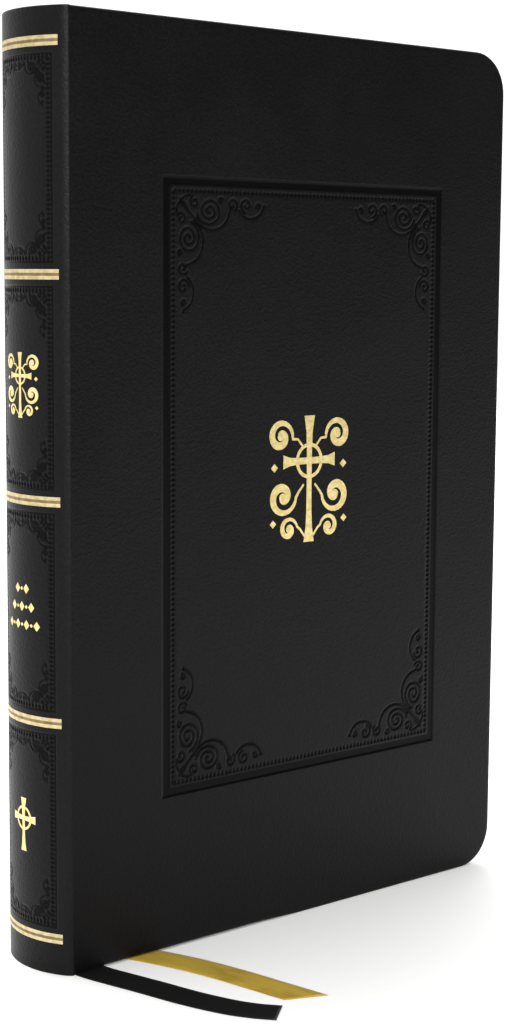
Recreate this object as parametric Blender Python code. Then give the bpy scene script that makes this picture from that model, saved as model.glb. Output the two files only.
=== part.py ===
"""A large family bible that stands closed on its tail: case, sewn leaves, headbands and two ribbons.

Frame, in metres: +Z runs from tail to head, the front cover faces -Y and the spine faces -X. The
origin is the middle of the book's footprint. A depth is measured in from the leather's outer face.
"""

import math

import bmesh
import bpy
from mathutils import Vector

MM = 0.001
FRONT, BACK = -1, 1

# Whole book
HEIGHT = 241 * MM
WIDTH = 160 * MM
THICKNESS = 28 * MM
CROWN = 4.85 * MM  # how far the spine bulges past the covers' back edges
SHOULDER_ROUND = 1.6 * MM
CORNER_ROUND = 11.5 * MM
EDGE_ROUND = 0.7 * MM
HINGE_GAP = 0.1 * MM

# Layers of the case, as depths
SKIN = 0.8 * MM
BOARD_NEAR = 0.85 * MM
BOARD_FAR = 2.05 * MM
TURN_IN_NEAR = 2.1 * MM
TURN_IN_FAR = 2.45 * MM
PASTEDOWN_NEAR = 2.5 * MM
PASTEDOWN_FAR = 2.7 * MM
FLYLEAF_NEAR = 2.95 * MM
FLYLEAF_FAR = 3.15 * MM
SECTIONS_NEAR = 3.35 * MM

# Distances in from the covers' edges
POCKET_EDGE = 0.9 * MM
BOARD_EDGE = 1.0 * MM
PASTEDOWN_EDGE = 3.0 * MM
TURN_IN_WIDTH = 14 * MM
PAST_SPINE = 5 * MM  # how far a cutter reaches past the cover's back edge
INFILL_EDGE = 14.4 * MM
BOARD_FROM_HINGE = 4.7 * MM
PASTEDOWN_FROM_HINGE = 3.2 * MM
FLYLEAF_FROM_HINGE = 1.6 * MM

# The front cover's tail edge is lifted where the ribbons pass under it
RIBBON_RELIEF = 0.5 * MM
RELIEF_LENGTH = 62 * MM
RELIEF_RUN = 14 * MM

# Gold foil on the spine and the front cover
FOIL = 0.1 * MM
FOIL_GAP = 0.05 * MM
BAND_COUNT = 5
BAND_HEIGHT = 2.5 * MM
BAND_FROM_HEAD = 8.3 * MM
BAND_SPACING = 55.8 * MM
BAND_HALF_ANGLE = 32.5
COVER_CROSS = (79.6 * MM, 127 * MM, 17.6 * MM, 9.4 * MM)  # from the ridge, up, half height, half width
SPINE_CROSSES = (
    (152 * MM, 8.4 * MM, 4.4 * MM),
    (95 * MM, 5.6 * MM, 6 * MM),
    (39.3 * MM, 6.9 * MM, 4.6 * MM),
)

# Leaves and the sewn back
SECTIONS_A_SIDE = 7
SQUARE = 3.5 * MM  # how far the covers overhang the leaves
SECTION_GAP = 0.1 * MM
MIDDLE_GAP = 0.9 * MM  # room for both ribbons
LEAF_WIDTH = 148.9 * MM
LEAF_CORNER = 8.5 * MM
BACK_RADIUS = 26.6 * MM
BACK_INSET = 5.2 * MM  # from the outside of the spine to the sewn back
BACK_HALF_ANGLE = 22
THREAD_COUNT = 5
THREAD_RADIUS = 0.2 * MM
THREAD_PROUD = 0.35 * MM  # from the sewn back to a thread's middle
MULL = (0.65 * MM, 0.9 * MM, 11 * MM)  # near and far from the sewn back, and in from the ends
LINING = (1.0 * MM, 1.35 * MM, 6 * MM)
HEADBAND_RADIUS = 1.1 * MM
HEADBAND_EDGE = 2.2 * MM
HEADBAND_INSET = 0.1 * MM
TAPE = (0.15 * MM, 0.85 * MM, 9.5 * MM)

# Ribbons
RIBBON_WIDTH = 9.6 * MM
RIBBON_THICK = 0.22 * MM
RIBBON_POINTS = 64

# Turning: each group of leaves makes a fixed share of its cover's turn
FLYLEAF_SHARE = 0.95
FIRST_SHARE = 0.88
SHARE_STEP = 0.12
FOLD_DEPTH = 1.6 * MM
FOLD_POWER = 0.8

# Places that follow from the sizes above
FOIL_PROUD = FOIL + FOIL_GAP
SPINE_X = -WIDTH / 2 + FOIL_PROUD
RIDGE_X = SPINE_X + CROWN
FORE_X = WIDTH / 2
MID_Y = FOIL_PROUD / 2
HALF = THICKNESS / 2 - MID_Y
SPINE_RADIUS = (HALF**2 + CROWN**2) / (2 * CROWN)
SPINE_AXIS_X = SPINE_X + SPINE_RADIUS
ROUND_X = SPINE_AXIS_X - math.sqrt(
    (SPINE_RADIUS - SHOULDER_ROUND) ** 2 - (HALF - SHOULDER_ROUND) ** 2
)
HINGE_X = ROUND_X + HINGE_GAP
COVER_X = HINGE_X + HINGE_GAP
BACK_AXIS_X = -WIDTH / 2 + BACK_INSET + BACK_RADIUS
PITCH = (HALF - SECTIONS_NEAR - MIDDLE_GAP / 2) / SECTIONS_A_SIDE

# Finish: colour, roughness, metallic
FINISHES = {
    "leather": ((0.017, 0.016, 0.017), 0.55, 0.0),
    "board": ((0.30, 0.26, 0.20), 0.9, 0.0),
    "card": ((0.42, 0.38, 0.30), 0.9, 0.0),
    "endpaper": ((0.012, 0.012, 0.012), 0.7, 0.0),
    "paper": ((0.86, 0.83, 0.75), 0.8, 0.0),
    "gauze": ((0.78, 0.75, 0.68), 0.9, 0.0),
    "kraft": ((0.45, 0.31, 0.18), 0.8, 0.0),
    "thread": ((0.88, 0.86, 0.80), 0.6, 0.0),
    "foil": ((0.83, 0.66, 0.28), 0.3, 1.0),
    "band_cloth": ((0.72, 0.55, 0.20), 0.6, 0.0),
    "black_satin": ((0.008, 0.008, 0.009), 0.35, 0.0),
    "gold_satin": ((0.40, 0.28, 0.05), 0.35, 0.0),
}

# Middle lines of the ribbons, in millimetres: out from the ridge, back from the front leather, up.
# Each comes out of the gutter near the head, runs down between the middle leaves, turns under the
# block's tail and lies on the table in front of the book.
BLACK_ROUTE = (
    (5.3, 13.725, 233), (5.4, 13.725, 180), (5.7, 13.725, 120), (6.2, 13.725, 60),
    (6.6, 13.725, 20), (6.7, 13.725, 7), (6.7, 13.725, 4), (6.7, 13.5, 2.4), (6.7, 12.9, 1.2),
    (6.7, 11.7, 0.4), (6.7, 10, 0.13), (6.4, 6, 0.13), (6.0, 0.5, 0.13), (6.5, -3, 0.13),
    (8.2, -9.5, 0.13), (10.8, -19, 0.13), (13.7, -30.5, 0.13), (17.6, -41.5, 0.13),
    (21, -47.6, 0.13), (24.5, -52, 0.13),
)  # fmt: skip
GOLD_ROUTE = (
    (5.3, 14.125, 236), (6.6, 14.125, 205), (10, 14.125, 150), (14.2, 14.125, 90),
    (18, 14.125, 35), (19.4, 14.125, 12), (19.6, 14.125, 6.5), (19.6, 14.125, 4),
    (19.6, 13.9, 2.4), (19.6, 13.3, 1.2), (19.6, 12.1, 0.4), (19.6, 10.6, 0.13),
    (19.8, 9.2, 0.13), (21.6, 4.5, 0.13), (24.6, -2, 0.13), (28.8, -13.5, 0.13),
    (31.8, -25.3, 0.13), (34.1, -37.5, 0.13), (36.2, -48.7, 0.13),
)  # fmt: skip
BLACK_CUT = 0  # how much further out the end's right edge reaches than its left one
GOLD_CUT = 6.5 * MM


def layer_y(depth, side):
    """Y of a layer this deep in the front or the back of the book."""
    return MID_Y + side * (HALF - depth)


def back_x(across):
    """X of the sewn back's arc this far from the book's middle plane."""
    return BACK_AXIS_X - math.sqrt(BACK_RADIUS**2 - across**2)


def make_material(name, finish):
    colour, rough, metal = FINISHES[finish]
    material = bpy.data.materials.new(name)
    material.use_nodes = True
    shader = material.node_tree.nodes["Principled BSDF"]
    shader.inputs["Base Color"].default_value = (*colour, 1)
    shader.inputs["Roughness"].default_value = rough
    shader.inputs["Metallic"].default_value = metal
    return material


def make_object(name, shape, finish=None):
    """An object from a bmesh. Without a finish it is a cutter, which only shows as wire."""
    bmesh.ops.recalc_face_normals(shape, faces=shape.faces)
    mesh = bpy.data.meshes.new(name)
    shape.to_mesh(mesh)
    shape.free()
    obj = bpy.data.objects.new(name, mesh)
    bpy.context.collection.objects.link(obj)
    if finish:
        mesh.materials.append(make_material(name, finish))
        mesh.shade_smooth()
        mesh.set_sharp_from_angle(angle=math.radians(32))
    else:
        obj.hide_render = True
        obj.display_type = "WIRE"
    return obj


def loft(loops):
    """A closed body through loops of as many points each, with the first and the last capped."""
    shape = bmesh.new()
    rings = [[shape.verts.new(point) for point in loop] for loop in loops]
    for ring, after in zip(rings, rings[1:]):
        for i, vert in enumerate(ring):
            j = (i + 1) % len(ring)
            shape.faces.new((vert, ring[j], after[j], after[i]))
    shape.faces.new(rings[0])
    shape.faces.new(rings[-1])
    return shape


def arc(centre, radius, start, end, steps):
    """Points along a circle from one angle to another, in degrees."""
    angles = [math.radians(start + (end - start) * i / steps) for i in range(steps + 1)]
    return [(centre[0] + radius * math.cos(a), centre[1] + radius * math.sin(a)) for a in angles]


def page_outline(x_spine, x_fore, edge, corner, steps=6):
    """An upright page in XZ, this far in from head and tail, with round fore-edge corners."""
    x_round = x_fore - corner
    tail = arc((x_round, edge + corner), corner, -90, 0, steps)
    head = arc((x_round, HEIGHT - edge - corner), corner, 0, 90, steps)
    return [(x_spine, edge), *tail, *head, (x_spine, HEIGHT - edge)]


def cover_outline(edge, lift, x_spine=COVER_X):
    """A cover's layer in XZ, this far in from its edges, with its tail lifted over the ribbons."""
    corner = max(CORNER_ROUND - edge, 1 * MM)
    page = page_outline(x_spine, FORE_X - edge, edge, corner)
    x_lifted = COVER_X + RELIEF_LENGTH
    lifted = [(x_spine, edge + lift), (x_lifted, edge + lift), (x_lifted + RELIEF_RUN, edge)]
    return lifted + page[1:]


def plate(name, outline, y_from, y_to, finish=None):
    """A flat upright layer with this outline in XZ."""
    loops = [[(x, y, z) for x, z in outline] for y in (y_from, y_to)]
    return make_object(name, loft(loops), finish)


def arc_body(name, profile, axis_x, half_angle, finish, steps=24):
    """A body swept about an upright axis behind the spine from a profile of (radius, z)."""
    rings = []
    for i in range(steps + 1):
        angle = math.radians(180 + half_angle * (1 - 2 * i / steps))
        cos, sin = math.cos(angle), math.sin(angle)
        rings.append([(axis_x + r * cos, MID_Y + r * sin, z) for r, z in profile])
    return make_object(name, loft(rings), finish)


def box_profile(near, far, low, high):
    return [(near, low), (far, low), (far, high), (near, high)]


def boolean(obj, other, operation):
    modifier = obj.modifiers.new(operation.lower(), "BOOLEAN")
    modifier.operation = operation
    modifier.object = other


def cover_leather(name, side, lift):
    """Leather over one board: skin, rounded edges and turn-ins. It is open towards the spine."""
    soft = EDGE_ROUND * 0.3
    levels = (
        (EDGE_ROUND, 0),
        (soft, soft),
        (0, EDGE_ROUND),
        (0, TURN_IN_FAR - EDGE_ROUND),
        (soft, TURN_IN_FAR - soft),
        (EDGE_ROUND, TURN_IN_FAR),
    )
    loops = []
    for edge, depth in levels:
        y = layer_y(depth, side)
        loops.append([(x, y, z) for x, z in cover_outline(edge, lift)])
    leather = make_object(name, loft(loops), "leather")
    past_spine = COVER_X - PAST_SPINE
    pocket = cover_outline(POCKET_EDGE, lift, past_spine)
    window = cover_outline(TURN_IN_WIDTH, 0, past_spine)
    pocket_y = layer_y(SKIN, side), layer_y(TURN_IN_NEAR, side)
    window_y = layer_y(BOARD_FAR, side), layer_y(FLYLEAF_FAR, side)
    boolean(leather, plate(name + "_pocket", pocket, *pocket_y), "DIFFERENCE")
    boolean(leather, plate(name + "_window", window, *window_y), "DIFFERENCE")
    return leather


def make_cover(word, side, lift):
    """The pieces of one cover, from its leather in to the pastedown."""
    leather = cover_leather(word + "_cover_leather", side, lift)
    board_outline = cover_outline(BOARD_EDGE, lift, COVER_X + BOARD_FROM_HINGE)
    board_y = layer_y(BOARD_NEAR, side), layer_y(BOARD_FAR, side)
    board = plate(word + "_board", board_outline, *board_y, "board")
    infill_outline = cover_outline(INFILL_EDGE, 0, COVER_X + BOARD_FROM_HINGE)
    infill_y = layer_y(TURN_IN_NEAR, side), layer_y(TURN_IN_FAR, side)
    infill = plate(word + "_infill_card", infill_outline, *infill_y, "card")
    paste_outline = cover_outline(PASTEDOWN_EDGE, 0, COVER_X + PASTEDOWN_FROM_HINGE)
    paste_y = layer_y(PASTEDOWN_NEAR, side), layer_y(PASTEDOWN_FAR, side)
    pastedown = plate(word + "_pastedown", paste_outline, *paste_y, "endpaper")
    return [leather, board, infill, pastedown]


def spine_line(depth):
    """The spine leather's outline in XY at this depth, from the front shoulder to the back one."""
    shoulder = SHOULDER_ROUND - depth
    meet = math.degrees(math.atan2(HALF - SHOULDER_ROUND, SPINE_AXIS_X - ROUND_X))
    front = arc((ROUND_X, MID_Y - HALF + SHOULDER_ROUND), shoulder, 270, 180 + meet, 4)
    middle = arc((SPINE_AXIS_X, MID_Y), SPINE_RADIUS - depth, 180 + meet, 180 - meet, 28)
    back = arc((ROUND_X, MID_Y + HALF - SHOULDER_ROUND), shoulder, 180 - meet, 90, 4)
    return front[:-1] + middle + back[1:]


def spine_turn_in(name, edge_z, inner_z):
    """The leather folded in over the spine inlay at one end, which is joined to the skin."""
    inward = 1 if inner_z > edge_z else -1
    near, far = SPINE_RADIUS - TURN_IN_NEAR, SPINE_RADIUS - TURN_IN_FAR
    within_skin = SPINE_RADIUS - SKIN / 2
    start = edge_z + inward * HINGE_GAP
    fold = edge_z + inward * SKIN
    profile = [
        (within_skin, start), (far, start), (far, inner_z), (near, inner_z), (near, fold),
        (within_skin, fold),
    ]  # fmt: skip
    return arc_body(name, profile, SPINE_AXIS_X, 31, None)


def make_spine():
    """The spine's leather, its stiffener and the gold bands stamped across it."""
    section = spine_line(0) + spine_line(SKIN)[::-1]
    loops = [[(x, y, z) for x, y in section] for z in (0, HEIGHT)]
    leather = make_object("spine_leather", loft(loops), "leather")
    tail = spine_turn_in("spine_tail_turn_in", 0, TURN_IN_WIDTH)
    head = spine_turn_in("spine_head_turn_in", HEIGHT, HEIGHT - TURN_IN_WIDTH)
    boolean(leather, tail, "UNION")
    boolean(leather, head, "UNION")
    inlay = box_profile(
        SPINE_RADIUS - BOARD_FAR, SPINE_RADIUS - BOARD_NEAR, BOARD_EDGE, HEIGHT - BOARD_EDGE
    )
    pieces = [leather, arc_body("spine_inlay", inlay, SPINE_AXIS_X, 32, "card")]
    for i in range(BAND_COUNT):
        z = HEIGHT - BAND_FROM_HEAD - i * BAND_SPACING
        band = box_profile(
            SPINE_RADIUS + FOIL_GAP,
            SPINE_RADIUS + FOIL_PROUD,
            z - BAND_HEIGHT / 2,
            z + BAND_HEIGHT / 2,
        )
        name = f"spine_band_{i + 1}"
        pieces.append(arc_body(name, band, SPINE_AXIS_X, BAND_HALF_ANGLE, "foil"))
    return pieces


def cross_columns(half_height, half_width):
    """A cross with flared ends, as columns of (across, low, high) from its crossing."""
    bar = half_height * 0.09
    foot = -half_height * 1.25
    top = half_height * 0.75
    arm = [(half_width, -bar * 2, bar * 2), (half_width * 0.75, -bar, bar)]
    post = [(half_width * 0.45, -bar, bar), (bar * 1.6, -bar, bar), (bar * 1.2, foot, top)]
    right = [(u, low, high) for u, low, high in arm + post]
    return [(-u, low, high) for u, low, high in right] + right[::-1]


def spine_cross(name, z, half_height, half_width):
    """A stamped cross that follows the spine's curve."""
    radii = SPINE_RADIUS + FOIL_GAP, SPINE_RADIUS + FOIL_PROUD
    rings = []
    for across, low, high in cross_columns(half_height, half_width):
        angle = math.pi + across / SPINE_RADIUS
        cos, sin = math.cos(angle), math.sin(angle)
        corners = box_profile(*radii, z + low, z + high)
        rings.append([(SPINE_AXIS_X + r * cos, MID_Y + r * sin, up) for r, up in corners])
    return make_object(name, loft(rings), "foil")


def cover_cross():
    """The cross stamped on the front cover."""
    from_ridge, z, half_height, half_width = COVER_CROSS
    far, near = layer_y(-FOIL_PROUD, FRONT), layer_y(-FOIL_GAP, FRONT)
    rings = []
    for across, low, high in cross_columns(half_height, half_width):
        corners = box_profile(far, near, z + low, z + high)
        rings.append([(RIDGE_X + from_ridge + across, y, up) for y, up in corners])
    return make_object("cover_cross_foil", loft(rings), "foil")


def make_sewn_back():
    """What holds the sections together: thread, gauze, paper lining and the two headbands."""
    half_turn = BACK_HALF_ANGLE
    pieces = []
    for i in range(THREAD_COUNT):
        z = HEIGHT * (i + 1) / (THREAD_COUNT + 1)
        profile = arc((BACK_RADIUS + THREAD_PROUD, z), THREAD_RADIUS, 0, 300, 5)
        name = f"sewing_thread_{i + 1}"
        pieces.append(arc_body(name, profile, BACK_AXIS_X, half_turn, "thread", 14))
    layers = (("gauze_mull", MULL, "gauze"), ("spine_lining", LINING, "kraft"))
    for name, (near, far, end), finish in layers:
        profile = box_profile(BACK_RADIUS + near, BACK_RADIUS + far, end, HEIGHT - end)
        pieces.append(arc_body(name, profile, BACK_AXIS_X, half_turn, finish, 16))
    middle = BACK_RADIUS - HEADBAND_INSET, HEADBAND_EDGE
    bead = arc(middle, HEADBAND_RADIUS, 32, -283, 12)
    near, far, end = TAPE
    low = bead + [(BACK_RADIUS + near, end), (BACK_RADIUS + far, end)]
    high = [(r, HEIGHT - z) for r, z in low]
    pieces.append(arc_body("tailband", low, BACK_AXIS_X, half_turn, "band_cloth", 16))
    pieces.append(arc_body("headband", high, BACK_AXIS_X, half_turn, "band_cloth", 16))
    return pieces


def make_section(name, index, side):
    """One group of folded sheets. The back is rounded, so the middle groups sit further in."""
    depth = SECTIONS_NEAR + index * PITCH
    thick = PITCH - SECTION_GAP
    x_spine = back_x(HALF - depth)
    outline = page_outline(x_spine, x_spine + LEAF_WIDTH, SQUARE, LEAF_CORNER)
    return plate(name, outline, layer_y(depth, side), layer_y(depth + thick, side), "paper")


def make_flyleaf(name, side):
    x_fore = back_x(HALF - SECTIONS_NEAR) + LEAF_WIDTH
    outline = page_outline(HINGE_X + FLYLEAF_FROM_HINGE, x_fore, SQUARE, LEAF_CORNER)
    return plate(name, outline, layer_y(FLYLEAF_NEAR, side), layer_y(FLYLEAF_FAR, side), "endpaper")


def smooth_route(route, count):
    """Evenly spaced points on a smooth curve through a route's stops."""
    stops = [Vector((RIDGE_X + x * MM, layer_y(y * MM, FRONT), z * MM)) for x, y, z in route]
    knots = [0.0]
    for here, after in zip(stops, stops[1:]):
        knots.append(knots[-1] + (after - here).length)
    last = len(stops) - 1
    slopes = []
    for i in range(last + 1):
        before, after = max(i - 1, 0), min(i + 1, last)
        slopes.append((stops[after] - stops[before]) / (knots[after] - knots[before]))
    points = []
    for k in range(count):
        along = knots[-1] * k / (count - 1)
        i = min(sum(knot <= along for knot in knots) - 1, last - 1)
        span = knots[i + 1] - knots[i]
        t = (along - knots[i]) / span
        start = stops[i] * (1 + 2 * t) * (1 - t) ** 2 + slopes[i] * span * t * (1 - t) ** 2
        end = stops[i + 1] * t**2 * (3 - 2 * t) + slopes[i + 1] * span * t**2 * (t - 1)
        points.append(start + end)
    return points


def make_ribbon(name, route, finish, cut):
    """A flat ribbon along its route. Its width lies across the route and stays level."""
    points = smooth_route(route, RIBBON_POINTS)
    loops = []
    for i, point in enumerate(points):
        along = (points[min(i + 1, len(points) - 1)] - points[max(i - 1, 0)]).normalized()
        across = Vector((1 - along.x**2, -along.x * along.y, 0)).normalized()
        up = across.cross(along) * RIBBON_THICK / 2
        side = across * RIBBON_WIDTH / 2
        slant = along * cut / 2 if i == len(points) - 1 else Vector()
        right, left = point + side + slant, point - side - slant
        loops.append([right + up, left + up, left - up, right - up])
    return make_object(name, loft(loops), finish)


def make_joint(name, depth, side):
    """An empty on a hinge's upright axis, which the pieces that turn on it are parented to."""
    empty = bpy.data.objects.new(name, None)
    bpy.context.collection.objects.link(empty)
    empty.location = (HINGE_X, layer_y(depth, side), 0)
    empty.empty_display_size = 10 * MM
    return empty


def hang(pieces, empty):
    for piece in pieces:
        piece.parent = empty
        piece.matrix_parent_inverse = empty.matrix_world.inverted()


def fold_depth(share):
    """How deep a group's axis lies. Groups that turn less have theirs deeper in the block."""
    return FOLD_DEPTH * (1 / share - 1) ** FOLD_POWER


def make_half(word, side, lift):
    """One cover and the half of the leaves that opens with it, each on its own axis."""
    cover_axis = make_joint(word + "_cover_hinge", -FOIL_PROUD, side)
    bpy.context.view_layer.update()
    cover = make_cover(word, side, lift)
    if side == FRONT:
        cover.append(cover_cross())
    hang(cover, cover_axis)
    flyleaf_axis = make_joint(word + "_flyleaf_turn", fold_depth(FLYLEAF_SHARE), side)
    bpy.context.view_layer.update()
    hang([make_flyleaf(word + "_flyleaf", side)], flyleaf_axis)
    for i in range(SECTIONS_A_SIDE):
        number = i + 1 if side == FRONT else 2 * SECTIONS_A_SIDE - i
        share = FIRST_SHARE - i * SHARE_STEP
        axis = make_joint(f"section_{number:02d}_turn", fold_depth(share), side)
        bpy.context.view_layer.update()
        hang([make_section(f"section_{number:02d}", i, side)], axis)


def main():
    for old in list(bpy.data.objects):
        bpy.data.objects.remove(old)
    make_spine()
    for i, (z, half_height, half_width) in enumerate(SPINE_CROSSES):
        spine_cross(f"spine_foil_{i + 1}", z, half_height, half_width)
    make_sewn_back()
    make_half("front", FRONT, RIBBON_RELIEF)
    make_half("back", BACK, 0)
    make_ribbon("ribbon_black", BLACK_ROUTE, "black_satin", BLACK_CUT)
    make_ribbon("ribbon_gold", GOLD_ROUTE, "gold_satin", GOLD_CUT)


main()
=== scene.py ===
"""A large family bible in black imitation leather, standing on its tail, with two satin ribbons."""

import math

import bmesh
import bpy
from mathutils import Matrix, Vector
from mathutils.kdtree import KDTree


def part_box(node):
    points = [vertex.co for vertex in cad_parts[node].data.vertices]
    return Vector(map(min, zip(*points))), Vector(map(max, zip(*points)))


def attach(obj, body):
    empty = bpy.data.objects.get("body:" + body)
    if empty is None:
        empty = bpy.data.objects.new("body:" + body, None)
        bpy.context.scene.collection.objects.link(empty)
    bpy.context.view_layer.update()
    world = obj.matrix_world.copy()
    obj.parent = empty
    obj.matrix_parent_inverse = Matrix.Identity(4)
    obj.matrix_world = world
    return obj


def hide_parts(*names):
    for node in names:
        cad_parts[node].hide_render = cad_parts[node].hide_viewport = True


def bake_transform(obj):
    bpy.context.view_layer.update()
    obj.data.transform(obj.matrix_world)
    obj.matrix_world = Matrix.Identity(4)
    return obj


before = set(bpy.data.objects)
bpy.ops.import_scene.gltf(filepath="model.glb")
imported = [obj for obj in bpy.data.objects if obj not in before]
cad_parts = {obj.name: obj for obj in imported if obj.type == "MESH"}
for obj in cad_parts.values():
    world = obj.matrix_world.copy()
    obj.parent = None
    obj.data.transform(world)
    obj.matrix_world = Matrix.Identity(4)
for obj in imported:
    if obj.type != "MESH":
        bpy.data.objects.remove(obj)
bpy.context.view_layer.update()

MM = 0.001
SAME = 1e-6  # places closer than this, in metres, are taken as one
FRONT, BACK = -1, 1

# The frame's own places
spine_low, spine_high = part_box("spine_leather")
cover_low, cover_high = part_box("front_cover_leather")
HEIGHT = spine_high.z
FORE_X = cover_high.x
COVER_X = cover_low.x
MID_Y = (spine_low.y + spine_high.y) / 2
HALF = (spine_high.y - spine_low.y) / 2
CROWN = 4.85 * MM
RIDGE_X = spine_low.x + CROWN
SPINE_RADIUS = (HALF**2 + CROWN**2) / (2 * CROWN)
SPINE_AXIS_X = spine_low.x + SPINE_RADIUS
ROUND_X = spine_high.x
HINGE_X = (ROUND_X + COVER_X) / 2


def linear(code):
    """A colour written as sRGB hex, in the linear values that a shader takes."""
    parts = [int(code[i : i + 2], 16) / 255 for i in (1, 3, 5)]
    return (*[p / 12.92 if p <= 0.04045 else ((p + 0.055) / 1.055) ** 2.4 for p in parts], 1)


def add_node(tree, kind, settings=None, **links):
    """A shader node with its settings and its inputs, each a value or another node's output."""
    node = tree.nodes.new("ShaderNode" + kind)
    for name, value in (settings or {}).items():
        setattr(node, name, value)
    for name, value in links.items():
        by_number = name.startswith("in") and name[2:].isdigit()
        socket = node.inputs[int(name[2:]) if by_number else name.replace("_", " ")]
        if isinstance(value, bpy.types.NodeSocket):
            tree.links.new(value, socket)
        else:
            socket.default_value = value
    return node


def layer_y(depth, side):
    """Y of a layer this deep in the front or the back of the book."""
    return MID_Y + side * (HALF - depth)


# ---- Camera, light and table ----

BRIGHT_SIDE = (-0.52, 0.70, 0.49)
SHADED_LEVEL, BRIGHT_LEVEL = 0.08, 1.2
SHADED_UP_TO, BRIGHT_FROM = -0.75, 0.1  # cosine of the angle to the bright side
FLOOR_SIZE = 6.0
CAMERA_PLACE = (-0.3457, -0.39965, 0.1769)
CAMERA_TURN = (40.58, 7.02, 0.37)  # to the right of straight ahead, downwards, and leaning
CAMERA_LENS, SENSOR_WIDTH = 67.47, 36


def make_camera():
    yaw, pitch, roll = (math.radians(a) for a in CAMERA_TURN)
    data = bpy.data.cameras.new("camera")
    data.lens = CAMERA_LENS
    data.sensor_width = SENSOR_WIDTH
    data.clip_start = 0.01
    camera = bpy.data.objects.new("camera", data)
    bpy.context.collection.objects.link(camera)
    turn = Matrix.Rotation(-yaw, 4, "Z") @ Matrix.Rotation(math.pi / 2 - pitch, 4, "X")
    turn = turn @ Matrix.Rotation(roll, 4, "Z")
    camera.matrix_world = Matrix.Translation(CAMERA_PLACE) @ turn
    bpy.context.scene.camera = camera


def make_softbox(name, place, target, size, power):
    data = bpy.data.lights.new(name, "AREA")
    data.shape = "RECTANGLE"
    data.size, data.size_y = size
    data.energy = power
    lamp = bpy.data.objects.new(name, data)
    bpy.context.collection.objects.link(lamp)
    lamp.location = place
    lamp.rotation_euler = (Vector(target) - Vector(place)).to_track_quat("-Z", "Y").to_euler()


def make_studio():
    """A white sweep under soft light: bright behind and to the left, and shaded in front."""
    scene = bpy.context.scene
    scene.view_settings.view_transform = "Standard"
    world = bpy.data.worlds.new("studio")
    scene.world = world
    world.use_nodes = True
    tree = world.node_tree
    toward = add_node(tree, "TexCoord").outputs["Generated"]
    facing = add_node(tree, "VectorMath", {"operation": "DOT_PRODUCT"}, in0=toward,
                      in1=BRIGHT_SIDE).outputs["Value"]
    level = add_node(tree, "MapRange", {"interpolation_type": "SMOOTHSTEP"}, in0=facing,
                     in1=SHADED_UP_TO, in2=BRIGHT_FROM, in3=SHADED_LEVEL, in4=BRIGHT_LEVEL).outputs[0]
    background = tree.nodes["Background"]
    background.inputs["Color"].default_value = linear("#ffffff")
    tree.links.new(level, background.inputs["Strength"])
    select_none()
    bpy.ops.mesh.primitive_plane_add(size=FLOOR_SIZE)
    floor = bpy.context.object
    floor.name = "floor"
    material, tree, shader = new_material("white paper sweep")
    shader.inputs["Base Color"].default_value = linear("#f7f7f6")
    shader.inputs["Roughness"].default_value = 0.9
    floor.data.materials.append(material)
    make_softbox("left softbox", place=(-0.80, -1.21, 0.62), target=(-0.05, 0, 0.16),
                 size=(0.35, 0.5), power=14)
    make_softbox("rear softbox", place=(0.5, 1.3, 1.7), target=(0, 0.1, 0), size=(2.4, 2.2), power=60)


# ---- Ribbons ----

RIBBON_WIDTH = 9.6 * MM
RIBBON_THICK = 0.22 * MM
# Middle lines, in millimetres: out from the ridge, back from the front leather, up
BLACK_ROUTE = (
    (5.3, 13.725, 233), (5.4, 13.725, 180), (5.7, 13.725, 120), (6.2, 13.725, 60),
    (6.6, 13.725, 20), (6.7, 13.725, 7), (6.7, 13.725, 4), (6.7, 13.5, 2.4), (6.7, 12.9, 1.2),
    (6.7, 11.7, 0.4), (6.7, 10, 0.13), (6.4, 6, 0.13), (6.0, 0.5, 0.13), (6.5, -3, 0.13),
    (8.2, -9.5, 0.13), (10.8, -19, 0.13), (13.7, -30.5, 0.13), (17.6, -41.5, 0.13),
    (21, -47.6, 0.13), (24.5, -52, 0.13),
)
GOLD_ROUTE = (
    (5.3, 14.125, 236), (6.6, 14.125, 205), (10, 14.125, 150), (14.2, 14.125, 90),
    (18, 14.125, 35), (19.4, 14.125, 12), (19.6, 14.125, 6.5), (19.6, 14.125, 4),
    (19.6, 13.9, 2.4), (19.6, 13.3, 1.2), (19.6, 12.1, 0.4), (19.6, 10.6, 0.13),
    (19.8, 9.2, 0.13), (21.6, 4.5, 0.13), (24.6, -2, 0.13), (28.8, -13.5, 0.13),
    (31.8, -25.3, 0.13), (34.1, -37.5, 0.13), (36.2, -48.7, 0.13),
)
BLACK_CUT = 0  # how much further out the end's right edge reaches than its left one
GOLD_CUT = 6.5 * MM


def smooth_route(route, count):
    """Evenly spaced points on a smooth curve through a route's stops."""
    stops = [Vector((RIDGE_X + x * MM, layer_y(y * MM, FRONT), z * MM)) for x, y, z in route]
    knots = [0.0]
    for here, after in zip(stops, stops[1:]):
        knots.append(knots[-1] + (after - here).length)
    last = len(stops) - 1
    slopes = []
    for i in range(last + 1):
        before, after = max(i - 1, 0), min(i + 1, last)
        slopes.append((stops[after] - stops[before]) / (knots[after] - knots[before]))
    points = []
    for k in range(count):
        along = knots[-1] * k / (count - 1)
        i = min(sum(knot <= along for knot in knots) - 1, last - 1)
        span = knots[i + 1] - knots[i]
        t = (along - knots[i]) / span
        start = stops[i] * (1 + 2 * t) * (1 - t) ** 2 + slopes[i] * span * t * (1 - t) ** 2
        end = stops[i + 1] * t**2 * (3 - 2 * t) + slopes[i + 1] * span * t**2 * (t - 1)
        points.append(start + end)
    return points


RIBBON_RINGS = 300
RIBBON_CUT_RINGS = 24


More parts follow.
